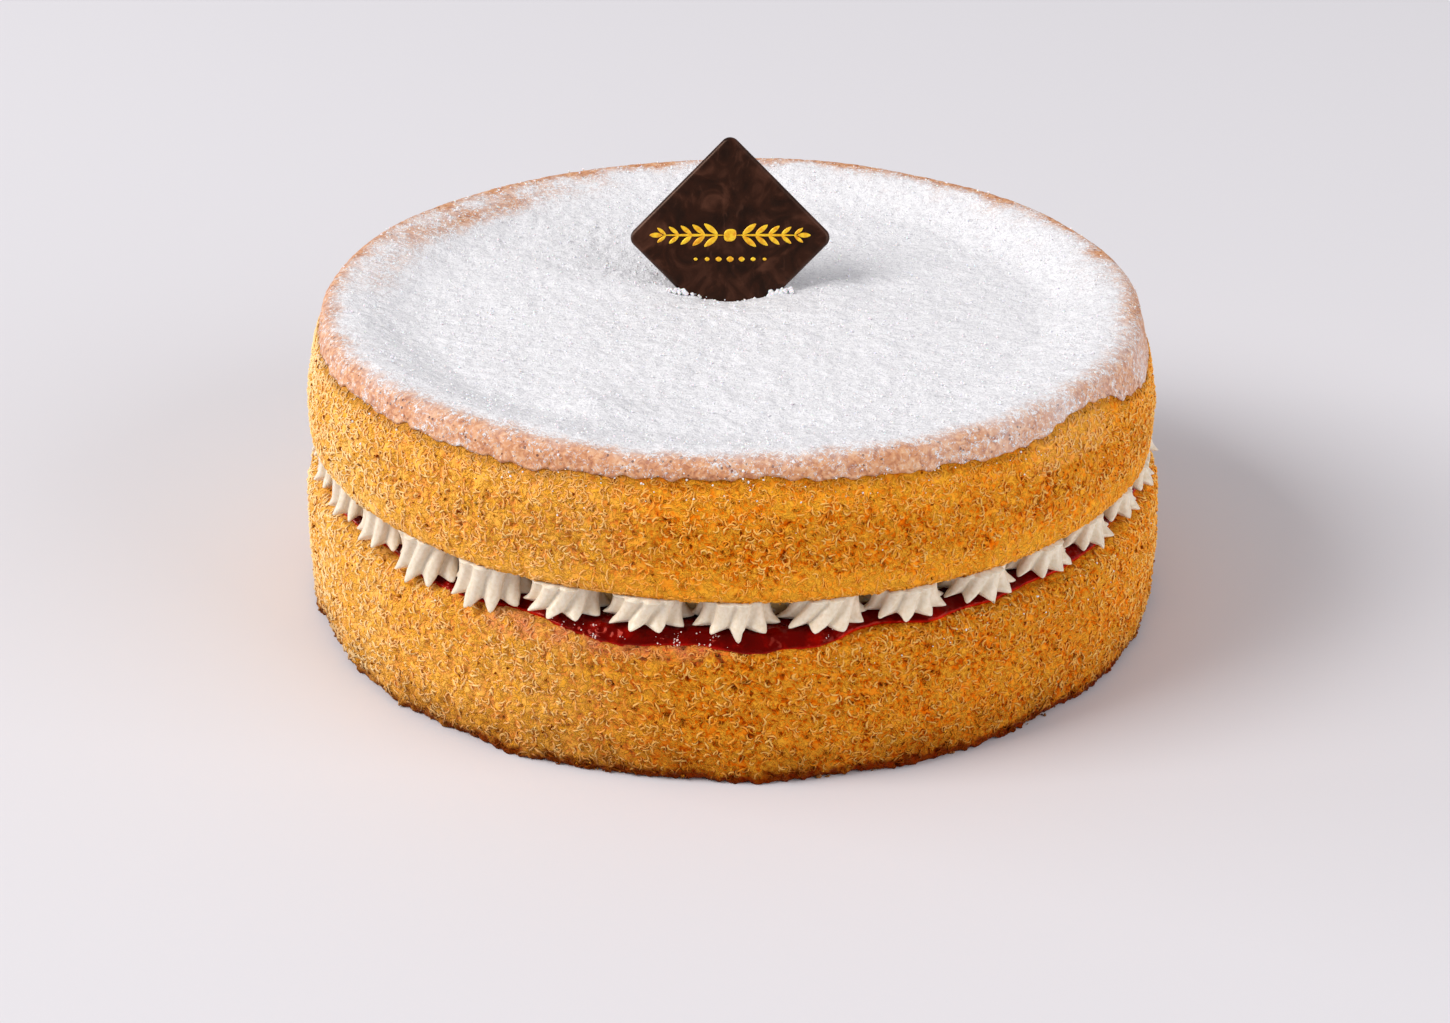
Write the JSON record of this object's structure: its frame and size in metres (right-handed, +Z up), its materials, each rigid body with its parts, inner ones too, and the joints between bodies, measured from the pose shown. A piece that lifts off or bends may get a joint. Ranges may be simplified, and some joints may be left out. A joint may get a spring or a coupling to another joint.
{
  "type": "victoria sponge cake",
  "caption": "Round victoria sponge cake: two sponge layers filled with jam and piped whipped cream stars, a sugar-dusted hollow top and a square chocolate plaque on one corner.",
  "frame": {"origin": "centre of the cake's box on the surface it stands on", "axes": "+Z up, -Y toward the front of the plaque, +X to the right"},
  "size_m": [0.2008, 0.2022, 0.1021],
  "materials": {
    "sponge_crumb": "matt, open crumb",
    "red_jam": "glossy",
    "whipped_cream": "satin",
    "dark_chocolate": "satin"
  },
  "bodies": {
    "root": {"lower_sponge": "sponge_crumb", "jam": "red_jam", "cream_bed": "whipped_cream", "cream_star_01": "whipped_cream", "cream_star_02": "whipped_cream", "cream_star_03": "whipped_cream", "cream_star_04": "whipped_cream", "cream_star_05": "whipped_cream", "cream_star_06": "whipped_cream", "cream_star_07": "whipped_cream", "cream_star_08": "whipped_cream", "cream_star_09": "whipped_cream", "cream_star_10": "whipped_cream", "cream_star_11": "whipped_cream", "cream_star_12": "whipped_cream", "cream_star_13": "whipped_cream", "cream_star_14": "whipped_cream", "cream_star_15": "whipped_cream", "cream_star_16": "whipped_cream", "cream_star_17": "whipped_cream", "cream_star_18": "whipped_cream", "cream_star_19": "whipped_cream", "cream_star_20": "whipped_cream", "cream_star_21": "whipped_cream", "cream_star_22": "whipped_cream", "cream_star_23": "whipped_cream", "cream_star_24": "whipped_cream", "cream_star_25": "whipped_cream", "cream_star_26": "whipped_cream", "cream_star_27": "whipped_cream", "cream_star_28": "whipped_cream", "cream_star_29": "whipped_cream", "cream_star_30": "whipped_cream", "cream_star_31": "whipped_cream", "cream_star_32": "whipped_cream", "cream_star_33": "whipped_cream", "cream_star_34": "whipped_cream", "upper_sponge": "sponge_crumb", "plaque": "dark_chocolate"}
  },
  "joints": []
}
